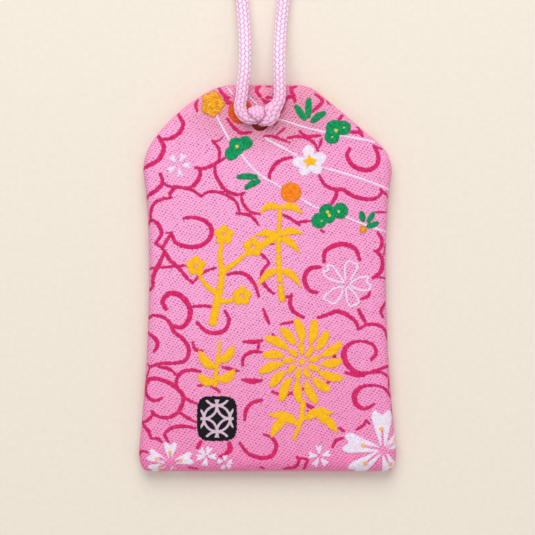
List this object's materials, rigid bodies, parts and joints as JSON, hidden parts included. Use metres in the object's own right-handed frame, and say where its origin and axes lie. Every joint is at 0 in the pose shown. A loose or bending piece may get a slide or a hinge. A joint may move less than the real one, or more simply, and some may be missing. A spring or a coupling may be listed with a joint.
{
  "type": "omamori charm",
  "caption": "Flat brocade charm pouch with cut shoulders, a paper-wrapped wooden tablet sewn inside and a braided cord loop knotted through a hole near its top edge.",
  "frame": {"origin": "middle of the pouch's flat back, where it lies on the table", "axes": "+X across the pouch to the right as the front is read, +Y up the pouch towards the cord, +Z out of the front face"},
  "size_m": [0.0526, 0.1393, 0.0074],
  "materials": {
    "front_brocade": "woven brocade",
    "back_brocade": "woven brocade",
    "lining": "matte",
    "card": "matte",
    "tablet_wood": "planed",
    "wrapper_paper": "matte",
    "seam_thread": "thread",
    "cord": "round braid"
  },
  "bodies": {
    "pouch": {"front_panel": "front_brocade", "back_panel": "back_brocade", "front_lining": "lining", "back_lining": "lining", "stiffener_card": "card", "amulet_tablet": "tablet_wood", "paper_wrapper": "wrapper_paper", "side_seam_thread": "seam_thread", "mouth_seam_thread": "seam_thread"},
    "knot": {"front_knot": "cord", "stop_knot": "cord"},
    "strap": {"cord_strap": "cord"}
  },
  "joints": [
    {"name": "cord_swivel", "type": "hinge", "parent": "pouch", "child": "knot", "pos_m": [-0.0015, 0.0318, 0.0045], "axis": [0, 0, 1], "range_deg": [-25, 25]},
    {"name": "strap_fold", "type": "hinge", "parent": "knot", "child": "strap", "pos_m": [-0.0015, 0.0366, 0.0073], "axis": [1, 0, 0], "range_deg": [0, 160]}
  ]
}
